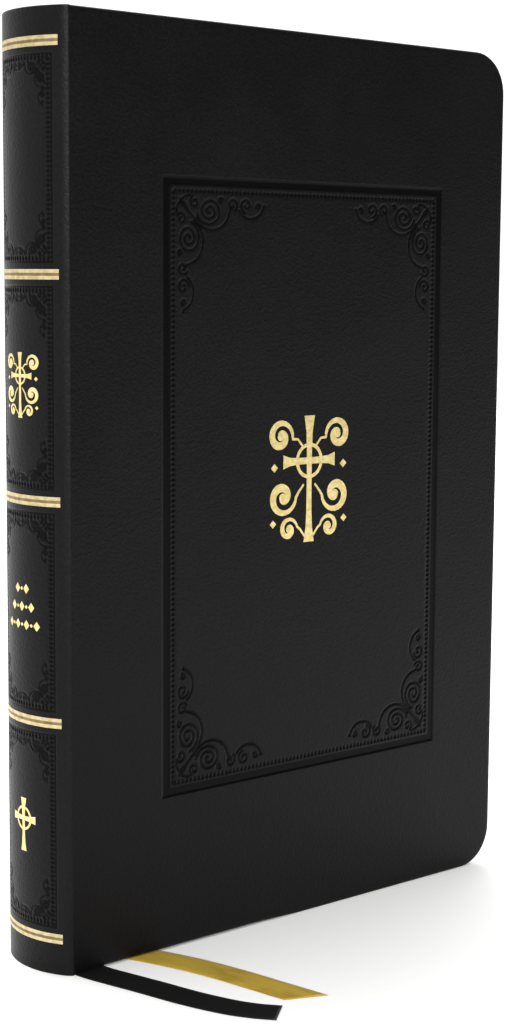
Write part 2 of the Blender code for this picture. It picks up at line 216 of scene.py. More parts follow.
def make_ribbon(name, route, cut, material):
    """A woven ribbon: a flat body with rounded selvedges, and a UV map along it in metres."""
    points = smooth_route(route, RIBBON_RINGS)
    half, thick = RIBBON_WIDTH / 2, RIBBON_THICK / 2
    edge = 0.25 * MM
    shape = [(half, 0), (half - edge, thick), (half * 0.5, thick), (0, thick), (-half * 0.5, thick),
             (-half + edge, thick), (-half, 0)]
    shape += [(u, -v) for u, v in shape[-2:0:-1]]
    mesh = bmesh.new()
    uv = mesh.loops.layers.uv.new("weave")
    rings, marks, gone = [], [], 0.0
    for i, point in enumerate(points):
        before, after = points[max(i - 1, 0)], points[min(i + 1, len(points) - 1)]
        along = (after - before).normalized()
        across = Vector((1 - along.x**2, -along.x * along.y, 0)).normalized()
        up = across.cross(along)
        gone += (point - points[i - 1]).length if i else 0
        share = max(0, i - (len(points) - 1 - RIBBON_CUT_RINGS)) / RIBBON_CUT_RINGS
        ring = []
        for u, v in shape:
            slant = along * cut / 2 * (u / half) * share
            ring.append(mesh.verts.new(point + across * u + up * v + slant))
        rings.append(ring)
        marks.append(gone)
    count = len(shape)
    for i in range(len(rings) - 1):
        for k in range(count):
            n = (k + 1) % count
            face = mesh.faces.new((rings[i][k], rings[i][n], rings[i + 1][n], rings[i + 1][k]))
            face.smooth = True
            for loop, (u, along) in zip(face.loops, (
                (shape[k][0], marks[i]), (shape[n][0], marks[i]),
                (shape[n][0], marks[i + 1]), (shape[k][0], marks[i + 1]),
            )):
                loop[uv].uv = (u, along)
    mesh.faces.new(rings[0])
    mesh.faces.new(rings[-1])
    bmesh.ops.recalc_face_normals(mesh, faces=mesh.faces)
    data = bpy.data.meshes.new(name)
    mesh.to_mesh(data)
    mesh.free()
    ribbon = bpy.data.objects.new(name, data)
    bpy.context.collection.objects.link(ribbon)
    data.materials.append(material)
    return ribbon, points


# ---- Hand tools ----

def select_none():
    bpy.ops.object.select_all(action="DESELECT")


def pick(obj):
    """Makes this the only selected object, and the active one."""
    select_none()
    obj.select_set(True)
    bpy.context.view_layer.objects.active = obj


def edit(obj, *steps):
    """Goes into edit mode on this object, runs the steps on what is selected, and comes out."""
    pick(obj)
    bpy.ops.object.mode_set(mode="EDIT")
    for step in steps:
        step()
    bpy.ops.object.mode_set(mode="OBJECT")


def mark(obj, kind, chosen):
    """Selects just the faces or edges of this object that chosen() says yes to."""
    mesh = obj.data
    for group in (mesh.vertices, mesh.edges, mesh.polygons):
        group.foreach_set("select", [False] * len(group))
    bpy.context.tool_settings.mesh_select_mode = (False, kind == "EDGE", kind == "FACE")
    if kind == "FACE":
        for face in mesh.polygons:
            face.select = chosen(face)
    else:
        points = mesh.vertices
        for line in mesh.edges:
            line.select = chosen(*[points[i].co for i in line.vertices])


def apply_all(obj):
    """Applies each modifier in turn."""
    pick(obj)
    for modifier in list(obj.modifiers):
        bpy.ops.object.modifier_apply(modifier=modifier.name)


def cut_away(obj, cutter, operation="DIFFERENCE"):
    modifier = obj.modifiers.new("cut", "BOOLEAN")
    modifier.operation = operation
    modifier.solver = "EXACT"
    modifier.object = cutter
    apply_all(obj)
    bpy.data.objects.remove(cutter)


def soften(obj, degrees, material=None):
    """Smooth shading up to this angle, faces outwards, and the material."""
    pick(obj)
    bpy.ops.object.shade_smooth_by_angle(angle=math.radians(degrees))
    if material:
        obj.data.materials.clear()
        obj.data.materials.append(material)
    return obj


def face_out(obj):
    edit(obj, lambda: bpy.ops.mesh.select_all(action="SELECT"),
         lambda: bpy.ops.mesh.remove_doubles(threshold=0.002 * MM),
         lambda: bpy.ops.mesh.normals_make_consistent(inside=False))


def start_grid(name, columns, rows, place):
    """A grid with its points moved to place(column, row) for each pair of line positions."""
    select_none()
    across, up = len(columns) - 1, len(rows) - 1
    bpy.ops.mesh.primitive_grid_add(x_subdivisions=across, y_subdivisions=up, size=2)
    obj = bpy.context.object
    obj.name = obj.data.name = name
    for point in obj.data.vertices:
        i = round((point.co.x + 1) / 2 * across)
        j = round((point.co.y + 1) / 2 * up)
        point.co = place(columns[i], rows[j])
    return obj


def lines(start, end, step):
    """Evenly spaced positions from start to end, about this far apart."""
    count = max(1, round((end - start) / step))
    return [start + (end - start) * i / count for i in range(count + 1)]


def block(low, high, corner=0.0):
    """A cutter: a cube at its place, with the upright corners on its fore-edge side rounded."""
    select_none()
    bpy.ops.mesh.primitive_cube_add(size=1)
    obj = bpy.context.object
    for point in obj.data.vertices:
        point.co = [high[k] if point.co[k] > 0 else low[k] for k in range(3)]
    if corner:
        far = high[0] - SAME
        mark(obj, "EDGE", lambda a, b: a.x > far and b.x > far and abs(a.y - b.y) > SAME)
        edit(obj, lambda: bpy.ops.mesh.bevel(offset=corner, segments=10, affect="EDGES"))
    return obj


# ---- Blind tooling: the pattern that hot dies press into the leather ----

FRAME = (29.1, 129.7, 41.4, 201.7)  # in mm: left and right from the ridge, bottom and top
# In from a panel's edge, in mm: where the channel starts and ends, and the line of beads
COVER_CHANNEL, SPINE_CHANNEL = (0.3, 2.0, 3.4), (0, 0, 0.9)
COVER_BEAD_PITCH, SPINE_BEAD_PITCH = 1.35, 1.15
SPINE_PANEL_SCALE = 0.36


def swell(x):
    """A soft hump, 1 in the middle and 0 from 1 outwards."""
    return (1 - x * x) ** 2 if abs(x) < 1 else 0.0


def flat_between(x, start, end, slope):
    """1 between start and end, falling to 0 over this slope on either side."""
    t = min(1.0, max(0.0, min(x - start, end - x) / slope + 1))
    return t * t * (3 - 2 * t)


def spiral(centre, first, last, start, sweep, squash=1.0, tail=()):
    """Points along a spiral whose radius goes from first to last, in mm and degrees."""
    count = max(6, round(abs(sweep) / 15))
    found = []
    for i in range(count + 1):
        t = i / count
        angle = math.radians(start + sweep * t)
        radius = first + (last - first) * t
        found.append((centre[0] + radius * squash * math.cos(angle),
                      centre[1] + radius * math.sin(angle)))
    return found + list(tail)


# One side of a corner scroll: along the frame from its corner, and in from it
CORNER_SCROLL = (
    spiral((15.2, 8.3), 0.4, 3.7, 90, 800, 1.1),
    spiral((15.8, 7.6), 5.3, 5.9, 155, -150, 1.05, [(22.4, 6.9)]),
    spiral((22.9, 6.5), 0.4, 1.7, 0, 420),
    spiral((28.9, 5.9), 4.0, 4.3, 150, -140, 1.1, [(34.0, 6.6)]),
    spiral((27.6, 6.6), 0.4, 1.9, 180, -440, 1.1),
    spiral((31.6, 6.9), 0.3, 0.9, 0, 330),
    spiral((10.4, 6.0), 0.4, 1.6, 200, 400),
    spiral((18.9, 5.6), 0.3, 0.8, 0, 330),
    spiral((9.0, 9.0), 4.6, 4.6, 225, -42),
    [(5.4, 5.4), (6.4, 7.0), (8.4, 8.4)],
    [(8.4, 8.4), (10.4, 10.4), (12.0, 12.0)],
)


def sampled(strokes, step=0.15):
    """Points this close together along each stroke, in mm."""
    found = []
    for stroke in strokes:
        for (ax, ay), (bx, by) in zip(stroke, stroke[1:]):
            count = max(1, round(math.hypot(bx - ax, by - ay) / step))
            found += [(ax + (bx - ax) * i / count, ay + (by - ay) * i / count)
                      for i in range(count + 1)]
    return found


def corner_points(left, right, low, high, scale):
    """The corner scroll at all four corners of a panel, in mm."""
    found = []
    for along, inward in sampled(CORNER_SCROLL):
        for a, b in ((along, inward), (inward, along)):
            for x in (left + a * scale, right - a * scale):
                found += [(x, low + b * scale), (x, high - b * scale)]
    return found


def tree_of(points):
    tree = KDTree(len(points))
    for i, (x, y) in enumerate(points):
        tree.insert((x, y, 0), i)
    tree.balance()
    return tree


# Depths in mm, and how much of the greatest depth a face needs to take the darker finish: burnished by
# the hot die, and painted shade in the hollows
CHANNEL_DEEP, LINE_DEEP, BEAD_DEEP, SCROLL_DEEP = 0.26, 0.15, 0.30, 0.26
CHANNEL_SLOPE, LINE_HALF, BEAD_HALF, SCROLL_HALF = 0.55, 0.42, 0.95, 0.55
BURNISHED_SHADE_FROM = 0.35


class Tooling:
    """A pressed panel: a channel or a fine line and a row of beads round it, and corner scrolls."""

    def __init__(self, panel, scale, channel, pitch):
        self.panel, self.scale, self.channel, self.pitch = panel, scale, channel, pitch
        self.scrolls = tree_of(corner_points(*panel, scale))

    def inset(self, u, v):
        left, right, low, high = self.panel
        return min(u - left, right - u, v - low, high - v)

    def near(self, u, v, margin):
        """Whether a point is within this margin of anything pressed."""
        s, scale = self.inset(u, v), self.scale
        if -margin - 0.4 < s < self.channel[2] + margin + 0.6:
            return True
        return self.scrolls.find((u, v, 0))[2] < margin + 0.6 * scale**0.5

    def depth(self, u, v):
        """How deep the die presses here, in mm."""
        left, right, low, high = self.panel
        s = self.inset(u, v)
        start, end, beads = self.channel
        along = v if min(u - left, right - u) < min(v - low, high - v) else u
        if end > start:
            pressed = CHANNEL_DEEP * flat_between(s, start, end, CHANNEL_SLOPE)
        else:
            pressed = LINE_DEEP * swell(s / LINE_HALF)
        bead = 0.15 + 0.85 * (0.5 - 0.5 * math.cos(2 * math.pi * along / self.pitch))
        pressed = max(pressed, BEAD_DEEP * bead * swell((s - beads) / BEAD_HALF))
        away = self.scrolls.find((u, v, 0))[2]
        finer = self.scale**0.4
        return max(pressed, SCROLL_DEEP * finer * swell(away / (SCROLL_HALF * finer)))


def press(obj, panels, flat_place, outward, is_outer):
    """Refines the outer face near the panels' patterns, then presses them in."""
    for cuts, margin in ((2, 1.4), (1, 0.35)):
        def close(face):
            if not is_outer(face.center, face.normal):
                return False
            u, v = flat_place(face.center)
            return any(panel.near(u, v, margin) for panel in panels)
        mark(obj, "FACE", close)
        edit(obj, lambda: bpy.ops.mesh.subdivide(number_cuts=cuts, ngon=True))
    mesh = obj.data
    worn = mesh.attributes.new("pressed", "FLOAT", "POINT")
    normals = [v.normal.copy() for v in mesh.vertices]
    for i, point in enumerate(mesh.vertices):
        if not is_outer(point.co, normals[i]):
            continue
        u, v = flat_place(point.co)
        depth = max(panel.depth(u, v) for panel in panels)
        if depth:
            worn.data[i].value = min(1, depth / CHANNEL_DEEP)
            point.co -= outward(point.co) * depth * MM


def burnish_and_shade(obj, material):
    """Gives the pressed faces a second, blacker and less shiny finish: partly burnished film, partly
    painted shade in the hollows.
    """
    obj.data.materials.append(material)
    worn = obj.data.attributes["pressed"].data
    for face in obj.data.polygons:
        total = sum(worn[i].value for i in face.vertices)
        face.material_index = int(total > BURNISHED_SHADE_FROM * len(face.vertices))
    return obj


# ---- The case ----

SKIN = 0.8 * MM
# The room for the board, and the opening between the turn-ins: depth from, depth to, in from the edges
POCKET = (0.8 * MM, 2.1 * MM, 0.9 * MM)
WINDOW = (2.05 * MM, 3.15 * MM, 14 * MM)
WRAP = 2.45 * MM  # how deep the leather reaches as it turns in
CORNER_ROUND = 11.5 * MM
COVER_STEP, SPINE_STEP = 1.8 * MM, 1.5 * MM
OUTER_ROUND, INNER_ROUND, HEAD_ROUND = 0.7 * MM, 0.6 * MM, 0.3 * MM
RELIEF = (0.5 * MM, COVER_X + 62 * MM, 14 * MM, 20 * MM)  # lift, where it ends, its run, its height


def rounded_corner(x, z):
    """Moves a square grid's point so that the fore-edge corners become round."""
    x_mid = FORE_X - CORNER_ROUND
    for z_mid, sign in ((CORNER_ROUND, -1), (HEIGHT - CORNER_ROUND, 1)):
        dx, dz = x - x_mid, (z - z_mid) * sign
        if dx > 0 and dz > 0:
            far, near = max(dx, dz), min(dx, dz)
            turn = math.pi / 4 * near / far
            turn = turn if dx >= dz else math.pi / 2 - turn
            return x_mid + far * math.cos(turn), z_mid + sign * far * math.sin(turn)
    return x, z


def lifted(x, z):
    """The front cover's tail edge is lifted where the ribbons pass under it."""
    lift, end, run, height = RELIEF
    share = min(1.0, max(0.0, 1 - (x - end) / run)) if x > end else 1.0
    return z + lift * share * max(0.0, 1 - z / height)


def make_cover_leather(name, side, material, tooled):
    """The leather of one cover: skin, rounded edges and turn-ins, pressed with the framed panel."""
    outer, inner = layer_y(0, side), layer_y(WRAP, side)
    x_mid = FORE_X - CORNER_ROUND
    columns = lines(HINGE_X, x_mid, COVER_STEP) + lines(x_mid, FORE_X, COVER_STEP)[1:]
    rows = lines(0, CORNER_ROUND, COVER_STEP)
    rows += lines(CORNER_ROUND, HEIGHT - CORNER_ROUND, COVER_STEP)[1:-1]
    rows += lines(HEIGHT - CORNER_ROUND, HEIGHT, COVER_STEP)

    def place(x, z):
        x, z = rounded_corner(x, z)
        return x, outer, z

    cover = start_grid(name, columns, rows, place)
    edit(cover, lambda: bpy.ops.mesh.select_all(action="SELECT"),
         lambda: bpy.ops.mesh.extrude_region_move(
             TRANSFORM_OT_translate={"value": (0, inner - outer, 0)}))
    face_out(cover)
    for depth_y, offset, segments in ((outer, OUTER_ROUND, 4), (inner, INNER_ROUND, 3)):
        rim = {}
        for face in cover.data.polygons:
            wall = abs(face.normal.y) < 0.5
            for key in face.edge_keys:
                rim.setdefault(key, set()).add(wall)
        rims = {key for key, walls in rim.items() if len(walls) == 2}
        points = cover.data.vertices

        def on_rim(a, b, y=depth_y):
            return abs(a.y - y) < SAME and abs(b.y - y) < SAME

        mark(cover, "EDGE", lambda a, b: False)
        for line in cover.data.edges:
            a, b = (points[i].co for i in line.vertices)
            hinge = abs(a.x - HINGE_X) < SAME and abs(b.x - HINGE_X) < SAME
            line.select = tuple(sorted(line.vertices)) in rims and on_rim(a, b) and not hinge
        edit(cover, lambda: bpy.ops.mesh.bevel(offset=offset, segments=segments, affect="EDGES"))
    for near, far, edge in (POCKET, WINDOW):
        y = sorted((layer_y(near, side), layer_y(far, side)))
        corner = max(CORNER_ROUND - edge, 1 * MM)
        low, high = (HINGE_X - 5 * MM, y[0], edge), (FORE_X - edge, y[1], HEIGHT - edge)
        cut_away(cover, block(low, high, corner))
    face_out(cover)
    panel = Tooling(FRAME, 1.0, COVER_CHANNEL, COVER_BEAD_PITCH)
    press(cover, [panel], lambda p: ((p.x - RIDGE_X) / MM, p.z / MM),
          lambda p: Vector((0, side, 0)),
          lambda p, normal: abs(p.y - outer) < 0.02 * MM and normal.y * side > 0.9)
    if side == FRONT:
        for point in cover.data.vertices:
            point.co.z = lifted(point.co.x, point.co.z)
    return burnish_and_shade(soften(cover, 50, material), tooled)


ARC_END, SHOULDER_END = math.radians(33.5), math.radians(60)  # from the spine's middle
CREASE_ROUND = 0.9 * MM  # more than the skin's thickness, so that its inner face doesn't fold


def spine_outline():
    """The spine's outer line in XY from hinge to hinge: crease, shoulder, arc, and back again."""
    across = HALF - CREASE_ROUND * (1 - math.sin(SHOULDER_END)) - SPINE_RADIUS * math.sin(ARC_END)
    shoulder = across / (math.sin(SHOULDER_END) - math.sin(ARC_END))
    centre, radius, start = Vector((SPINE_AXIS_X, 0, 0)), SPINE_RADIUS, 0
    found = []
    for end, after, steps in (
        (ARC_END, shoulder, 11), (SHOULDER_END, CREASE_ROUND, 8), (math.pi / 2, 0, 5),
    ):
        for i in range(steps if after else steps + 1):
            turn = start + (end - start) * i / steps
            found.append(centre + Vector((-math.cos(turn), math.sin(turn), 0)) * radius)
        centre += Vector((-math.cos(end), math.sin(end), 0)) * (radius - after)
        radius, start = after, end
    found.append(Vector((HINGE_X, HALF, 0)))
    both = [Vector((p.x, -p.y, 0)) for p in reversed(found[1:])] + found
    return [p + Vector((0, MID_Y, 0)) for p in both]


# The gold lines, in degrees to either side and in mm, and the panels between them
BAND_COUNT = 5
BAND_HALF_ANGLE = 32.5
BAND_FROM_HEAD = 8.3
BAND_SPACING = 55.8
PANEL_HALF_WIDTH = 10.9
BAND_ROOM = 3.0  # from a band's middle to the panel's line


def make_spine_leather(material, tooled):
    """The leather of the spine, pressed with a small panel between each pair of gold bands."""
    outline = spine_outline()
    rows = lines(0, HEIGHT, SPINE_STEP)
    spine = start_grid("spine_skin", range(len(outline)), rows,
                       lambda i, z: outline[i] + Vector((0, 0, z)))
    shell = spine.modifiers.new("leather", "SOLIDIFY")
    shell.thickness = SKIN
    shell.use_even_offset = True
    edit(spine, lambda: bpy.ops.mesh.select_all(action="SELECT"),
         lambda: bpy.ops.mesh.normals_make_consistent(inside=False))
    ridge = Vector((spine_low.x, MID_Y, HEIGHT / 2))
    middle = min(spine.data.polygons, key=lambda face: (face.center - ridge).length)
    shell.offset = -1 if middle.normal.x < 0 else 1
    apply_all(spine)
    face_out(spine)
    ends = (0, HEIGHT)
    mark(spine, "EDGE", lambda a, b: any(abs(a.z - z) < SAME and abs(b.z - z) < SAME for z in ends)
         and abs((a - b).to_2d().length) > SAME)
    points = spine.data.vertices
    sides = {}
    for face in spine.data.polygons:
        for key in face.edge_keys:
            sides.setdefault(key, set()).add(abs(face.normal.z) > 0.5)
    for line in spine.data.edges:
        if line.select and len(sides[tuple(sorted(line.vertices))]) != 2:
            line.select = False
        a, b = (points[i].co for i in line.vertices)
        if abs(a.x - HINGE_X) < SAME and abs(b.x - HINGE_X) < SAME:
            line.select = False
    edit(spine, lambda: bpy.ops.mesh.bevel(offset=HEAD_ROUND, segments=3, affect="EDGES"))
    panels = []
    for i in range(BAND_COUNT - 1):
        top = HEIGHT / MM - BAND_FROM_HEAD - i * BAND_SPACING
        box = (-PANEL_HALF_WIDTH, PANEL_HALF_WIDTH, top - BAND_SPACING + BAND_ROOM, top - BAND_ROOM)
        panels.append(Tooling(box, SPINE_PANEL_SCALE, SPINE_CHANNEL, SPINE_BEAD_PITCH))

    def unrolled(p):
        angle = math.atan2(p.y - MID_Y, SPINE_AXIS_X - p.x)
        return angle * SPINE_RADIUS / MM, p.z / MM

    def outward(p):
        return Vector((p.x - SPINE_AXIS_X, p.y - MID_Y, 0)).normalized()

    def is_outer(p, normal):
        away = Vector((p.x - SPINE_AXIS_X, p.y - MID_Y)).length
        upright = normal.to_2d().length > 0.9
        return abs(away - SPINE_RADIUS) < 0.1 * MM and upright and normal.dot(outward(p)) > 0.9

    press(spine, panels, unrolled, outward, is_outer)
    return burnish_and_shade(soften(spine, 50, material), tooled)


TURN_IN_HALF_ANGLE = 31
SPIN_STEPS = 40


def spun(name, profile, half_angle, material):
    """A body swept about the spine's own axis, from a profile of (radius, z)."""
    select_none()
    bpy.ops.mesh.primitive_circle_add(vertices=len(profile), fill_type="NGON")
    obj = bpy.context.object
    obj.name = obj.data.name = name
    start = math.pi - half_angle
    for point, (radius, z) in zip(obj.data.vertices, profile):
        point.co = (SPINE_AXIS_X + radius * math.cos(start), MID_Y + radius * math.sin(start), z)
    edit(obj, lambda: bpy.ops.mesh.select_all(action="SELECT"),
         lambda: bpy.ops.mesh.spin(steps=SPIN_STEPS, angle=-2 * half_angle,
                                   center=(SPINE_AXIS_X, MID_Y, 0), axis=(0, 0, 1)))
    low = min(p.co.y for p in obj.data.vertices)
    if low > MID_Y - 1 * MM:
        raise RuntimeError(f"{name} was spun the wrong way")
    face_out(obj)
    return soften(obj, 40, material)


def make_spine_turn_in(name, material, head):
    """The leather folded in over the stiffener at the head or the tail of the spine."""
    far, near, edge, end = 2.45, 2.1, 0.12, 14.0
    profile = [(0.4, edge), (1.0, edge - 0.08), (1.8, edge), (2.3, edge + 0.25), (far, edge + 0.75),
               (far, end), (near, end), (near, 1.0), (0.85, 0.9), (0.4, 0.8)]
    points = [(SPINE_RADIUS - d * MM, HEIGHT - z * MM if head else z * MM) for d, z in profile]
    return spun(name, points, math.radians(TURN_IN_HALF_ANGLE), material)


# ---- Gold foil ----

FOIL_LOW, FOIL_HIGH = -0.04 * MM, 0.07 * MM  # under and over the leather's surface
DULL_HALF = 0.35 * MM  # half the height of a gold line's dull middle


def make_band(name, z, material, shade):
    """A stamped double line with a duller line between."""
    high, dip, low = 0.10, 0.03, -0.04
    shape = [(low, -1.25), (high, -1.25), (high, -0.36), (dip, -0.30), (dip, 0.30), (high, 0.36),
             (high, 1.25), (low, 1.25)]
    profile = [(SPINE_RADIUS + h * MM, z + v * MM) for h, v in shape]
    band = spun(name, profile, math.radians(BAND_HALF_ANGLE), material)
    band.data.materials.append(shade)
    for face in band.data.polygons:
        if abs(face.center.z - z) < DULL_HALF:
            face.material_index = 1
    return band


def outline_of(stroke, widths):
    """The left and right edges of a stroke whose width runs through these values, in mm."""
    left, right = [], []
    last = len(stroke) - 1
    for i, (x, y) in enumerate(stroke):
        (ax, ay), (bx, by) = stroke[max(i - 1, 0)], stroke[min(i + 1, last)]
        size = math.hypot(bx - ax, by - ay) or 1
        nx, ny = -(by - ay) / size, (bx - ax) / size
        at = i / last * (len(widths) - 1)
        k = min(int(at), len(widths) - 2)
        half = (widths[k] + (widths[k + 1] - widths[k]) * (at - k)) / 2
        left.append((x + nx * half, y + ny * half))
        right.append((x - nx * half, y - ny * half))
    return left, right


def stroke_body(name, stroke, widths, place, low=FOIL_LOW, high=FOIL_HIGH):
    """One stroke of foil as a thin closed body laid on a surface by place(u, v, height)."""
    mesh = bmesh.new()
    left, right = outline_of(stroke, widths)
    rings = []
    for a, b in zip(left, right):
        section = ((a, low), (a, high), (b, high), (b, low))
        rings.append([mesh.verts.new(place(*point, height)) for point, height in section])
    for one, two in zip(rings, rings[1:]):
        for k in range(4):
            mesh.faces.new((one[k], one[(k + 1) % 4], two[(k + 1) % 4], two[k]))
    mesh.faces.new(rings[0])
    mesh.faces.new(rings[-1])
    bmesh.ops.recalc_face_normals(mesh, faces=mesh.faces)
    data = bpy.data.meshes.new(name)
    mesh.to_mesh(data)
    mesh.free()
    obj = bpy.data.objects.new(name, data)
    bpy.context.collection.objects.link(obj)
    return obj


def line_points(start, end, count=16):
    return [(start[0] + (end[0] - start[0]) * i / count, start[1] + (end[1] - start[1]) * i / count)
            for i in range(count + 1)]


def disc(centre, radius):
    """A dot, as a short fat stroke with round ends."""
    x, y = centre
    points = [(x - radius * math.cos(math.pi * i / 12), y) for i in range(13)]
    widths = [max(0.05, 2 * radius * math.sin(math.pi * i / 12)) for i in range(13)]
    return points, widths


def mirrored(strokes):
    return strokes + [([(-x, y) for x, y in points], widths) for points, widths in strokes]


FLARED = (3.8, 2.3, 1.9, 1.8, 1.8, 1.8, 1.9, 2.3, 3.8)


def lozenge(x, y, half_width, height):
    return [(x - half_width, y), (x, y), (x + half_width, y)], (0.1, height, 0.1)


def scroll_cross():
    """The cover's device: a flared cross in a ring, with scrolls in its four quarters, in mm."""
    ring = spiral((0, 5), 4.4, 4.4, 0, 360)
    middle = [
        (line_points((0, 17.3), (0, -17.3), 40), FLARED),
        (line_points((-9.4, 5), (9.4, 5), 24), FLARED),
        (ring, (1.0, 1.0)),
    ]
    side = [
        (spiral((10.4, 11.9), 0.8, 4.4, 40, 510, 1.0, [(4.2, 11.0), (2.4, 9.0)]),
         (0.9, 1.3, 1.9, 2.2, 1.9, 1.3, 0.6)),
        disc((10.4, 11.9), 1.1),
        (spiral((9.6, -4.6), 0.8, 4.9, -40, -500, 1.0, [(3.8, -3.4), (2.0, -1.4)]),
         (0.9, 1.3, 2.0, 2.4, 2.0, 1.3, 0.6)),
        disc((9.6, -4.6), 1.2),
        (spiral((7.4, -13.4), 0.6, 3.2, 60, 470, 1.0, [(3.2, -13.6), (1.6, -15.6)]),
         (0.8, 1.2, 1.6, 1.5, 1.0, 0.6)),
        disc((7.4, -13.4), 0.9),
        lozenge(12.6, 3.6, 1.2, 2.4),
        lozenge(13.0, -11.6, 1.1, 2.2),
    ]
    return middle + mirrored(side)


def ring_cross():
    """A small flared cross in a ring, in mm."""
    return [
        (line_points((0, 6.6), (0, -6.6), 24), (2.2, 1.3, 1.0, 1.0, 1.0, 1.3, 2.2)),
        (line_points((-4.4, 1.6), (4.4, 1.6), 16), (2.0, 1.2, 1.0, 1.2, 2.0)),
        (spiral((0, 1.6), 2.7, 2.7, 0, 360), (0.6, 0.6)),
    ]


def lozenge_rows():
    """Three rows of lozenges and dots, each row a little wider, in mm."""
    found = []
    for y, count in ((4.6, 2), (0.0, 3), (-4.6, 4)):
        for i in range(count):
            x = (i - (count - 1) / 2) * 3.7
            found.append(lozenge(x, y, 1.05, 2.5))
            if i:
                found.append(disc((x - 1.85, y), 0.42))
    return found


def stamp(name, strokes, place, material):
    """Foil strokes joined into one body by a union, so that none overlaps another."""
    bodies = [stroke_body(name, *stroke, place) for stroke in strokes]
    first, rest = bodies[0], bodies[1:]
    select_none()
    for body in rest:
        body.select_set(True)
    bpy.context.view_layer.objects.active = rest[0]
    bpy.ops.object.join()
    modifier = first.modifiers.new("union", "BOOLEAN")
    modifier.operation = "UNION"
    modifier.solver = "EXACT"
    modifier.use_self = True
    modifier.object = rest[0]
    apply_all(first)
    bpy.data.objects.remove(rest[0])
    first.name = first.data.name = name
    return soften(first, 30, material)


# ---- Leaves ----

BEND_CUTS = 14
BEND_LENGTH = 28 * MM


def copy_of(node, name):
    """A merged copy of a CAD node's mesh as a new object."""
    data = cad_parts[node].data.copy()
    data.materials.clear()
    obj = bpy.data.objects.new(name, data)
    bpy.context.collection.objects.link(obj)
    face_out(obj)
    return obj


def make_leaves(name, node, paper, edge):
    """A group of leaves sewn at the back, with its mesh cut finer near there, its faces in paper and
    its edges in the edge finish.
    """
    leaves = copy_of(node, name)
    low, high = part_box(node)
    for k in range(1, BEND_CUTS + 1):
        x = low.x + BEND_LENGTH * (k / BEND_CUTS) ** 1.4
        edit(leaves, lambda: bpy.ops.mesh.select_all(action="SELECT"),
             lambda: bpy.ops.mesh.bisect(plane_co=(x, 0, 0), plane_no=(1, 0, 0)))
    soften(leaves, 30, paper)
    leaves.data.materials.append(edge)
    for face in leaves.data.polygons:
        face.material_index = 0 if abs(face.normal.y) > 0.7 else 1
    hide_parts(node)
    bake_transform(leaves)
    return leaves


# ---- Materials ----

WAVE_OF_1M = math.pi / 10  # the Wave node's scale for bands one metre apart
GRAIN_SCALE = 1350  # leather grain cells of about 0.75 mm


def new_material(name):
    material = bpy.data.materials.new(name)
    material.use_nodes = True
    tree = material.node_tree
    return material, tree, tree.nodes["Principled BSDF"]


def ramp(tree, factor, *stops):
    """A colour ramp through (position, hex) stops."""
    node = add_node(tree, "ValToRGB", Fac=factor)
    marks = node.color_ramp.elements
    while len(marks) < len(stops):
        marks.new(0.5)
    for mark_, (position, code) in zip(marks, stops):
        mark_.position = position
        mark_.color = linear(code)
    return node.outputs["Color"]


def leather_finish(name, dark, light, rough, grain, specular):
    """Imitation leather: soft PVC film on cloth, with a goat grain moulded into it.

    It is a warm near-black, matt, with a fine pebbled surface, and it shines only at a low angle.
    The dies leave it smoother, and where they pressed it is painted near-black: partly the burnished
    film, partly painted shade in the hollows.
    """
    material, tree, shader = new_material(name)
    place = add_node(tree, "TexCoord").outputs["Object"]
    # Grain cells of about 0.75 mm, which is a little coarser than real so that they show
    warp = add_node(tree, "TexNoise", Vector=place, Scale=900, Detail=1.0)
    shifted = add_node(tree, "VectorMath", {"operation": "MULTIPLY_ADD"},
                       in0=warp.outputs["Color"], in1=(0.0005, 0.0005, 0.0005), in2=place)
    cells = add_node(tree, "TexVoronoi", {"feature": "SMOOTH_F1"}, Vector=shifted.outputs[0],
                     Scale=GRAIN_SCALE, Smoothness=0.6)
    creases = add_node(tree, "TexNoise", Vector=place, Scale=520, Detail=3.0, Roughness=0.6)
    cloud = add_node(tree, "TexNoise", Vector=place, Scale=38, Detail=2.0)
    pressed = add_node(tree, "Attribute", {"attribute_name": "pressed"}).outputs["Fac"]
    height = add_node(tree, "Math", {"operation": "MULTIPLY_ADD"}, in0=creases.outputs["Fac"],
                      in1=0.7, in2=cells.outputs["Distance"])
    smooth = add_node(tree, "Math", {"operation": "MULTIPLY_ADD"}, in0=pressed, in1=-0.75, in2=1.0)
    relief = add_node(tree, "Math", {"operation": "MULTIPLY"}, in0=height.outputs[0],
                      in1=smooth.outputs[0])
    bump = add_node(tree, "Bump", Strength=grain, Distance=0.00016, Height=relief.outputs[0])
    tone = ramp(tree, cloud.outputs["Fac"], (0.3, dark), (0.7, light))
    cell_tone = ramp(tree, cells.outputs["Distance"], (0.15, "#ffffff"), (0.75, "#b4b4b4"))
    mixed = add_node(tree, "Mix", {"data_type": "RGBA", "blend_type": "MULTIPLY"}, in0=1.0,
                     in6=tone, in7=cell_tone)
    # Pressed places are painted near-black: partly the burnished film, partly painted shade in the
    # pressed hollows
    burnish_and_shade_tone = add_node(tree, "Mix", {"data_type": "RGBA"}, in0=pressed, in6=mixed.outputs[2],
                      in7=linear("#060506"))
    spread = add_node(tree, "MapRange", Value=cloud.outputs["Fac"], in1=0.3, in2=0.7,
                      in3=rough - 0.03, in4=rough + 0.03)
    less = add_node(tree, "Math", {"operation": "MULTIPLY_ADD"}, in0=pressed, in1=-0.1,
                    in2=spread.outputs[0])
    tree.links.new(burnish_and_shade_tone.outputs[2], shader.inputs["Base Color"])
    tree.links.new(less.outputs[0], shader.inputs["Roughness"])
    tree.links.new(bump.outputs[0], shader.inputs["Normal"])
    # A rough surface gleams less at a low angle than smooth PVC (1.52), so its index is lower
    shader.inputs["IOR"].default_value = 1.3
    shader.inputs["Specular IOR Level"].default_value = specular
    shader.inputs["Sheen Weight"].default_value = 0.03
    shader.inputs["Sheen Roughness"].default_value = 0.35
    return material


